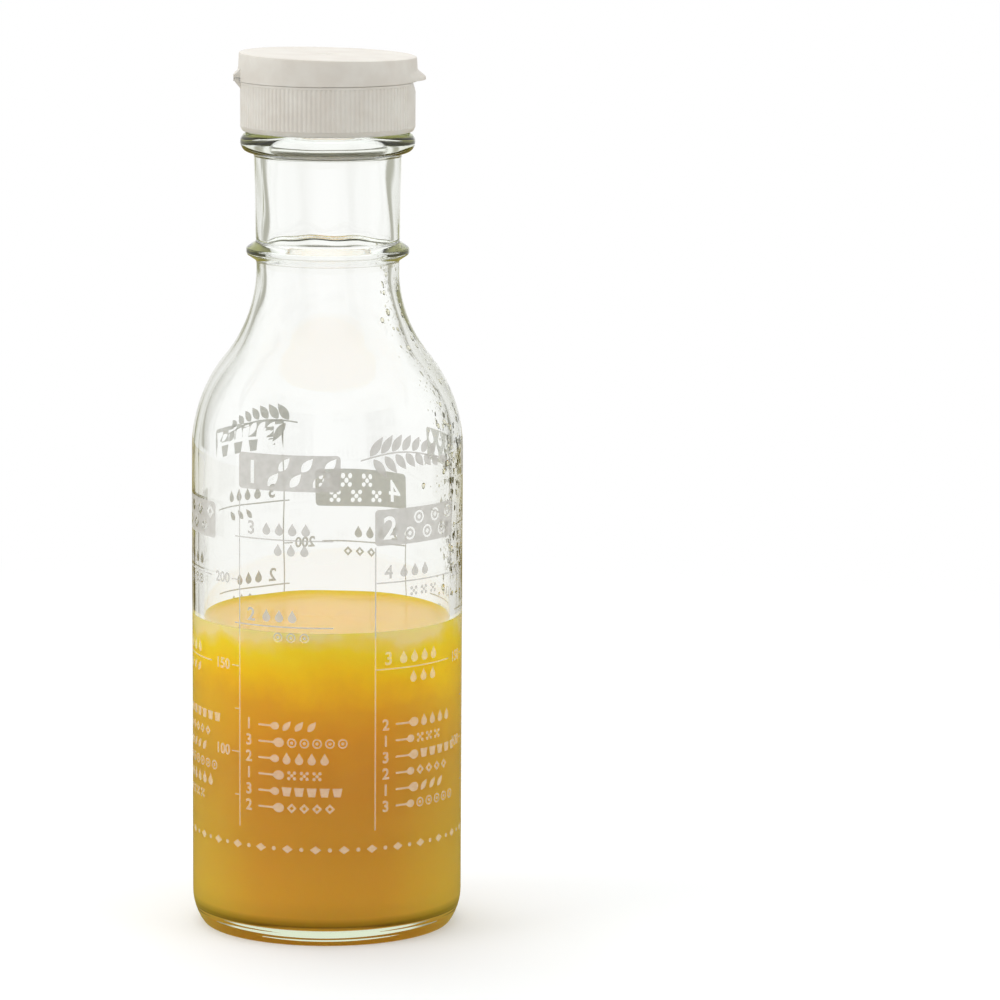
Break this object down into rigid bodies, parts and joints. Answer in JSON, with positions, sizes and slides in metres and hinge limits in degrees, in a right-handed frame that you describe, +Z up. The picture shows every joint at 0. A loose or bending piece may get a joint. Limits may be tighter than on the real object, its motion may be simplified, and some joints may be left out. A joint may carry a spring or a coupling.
{
  "type": "salad dressing shaker bottle",
  "caption": "Clear glass bottle with a ringed neck, part filled with dressing, and a white screw cap with a flip lid.",
  "frame": {"origin": "centre of the bottle's base on the table", "axes": "+Z up along the bottle's axis, +X towards the lid's thumb tab, -X towards its hinge"},
  "size_m": [0.062, 0.062, 0.2005],
  "materials": {
    "bottle_glass": "gloss",
    "dressing": "gloss",
    "cap_white": "satin",
    "liner_foam": "matte"
  },
  "bodies": {
    "bottle": {"glass_bottle": "bottle_glass", "dressing": "dressing"},
    "liner": {"cap_liner": "liner_foam"},
    "cap": {"screw_cap": "cap_white", "living_hinge": "cap_white"},
    "lid": {"flip_lid": "cap_white"}
  },
  "joints": [
    {"name": "cap_climb", "type": "slide", "parent": "bottle", "child": "liner", "axis": [0, 0, 1], "range_m": [0, 0.0127]},
    {"name": "cap_turn", "type": "hinge", "parent": "liner", "child": "cap", "pos_m": [0, 0, 0.194], "axis": [0, 0, 1], "range_deg": [0, 1080]},
    {"name": "lid_flip", "type": "hinge", "parent": "cap", "child": "lid", "pos_m": [-0.02105, 0, 0.19485], "axis": [0, -1, 0], "range_deg": [0, 170], "deforming": ["living_hinge"]}
  ],
  "couplings": [
    {"joint": "cap_climb", "follows": "cap_turn", "m_per_rad": 0.0006737}
  ]
}
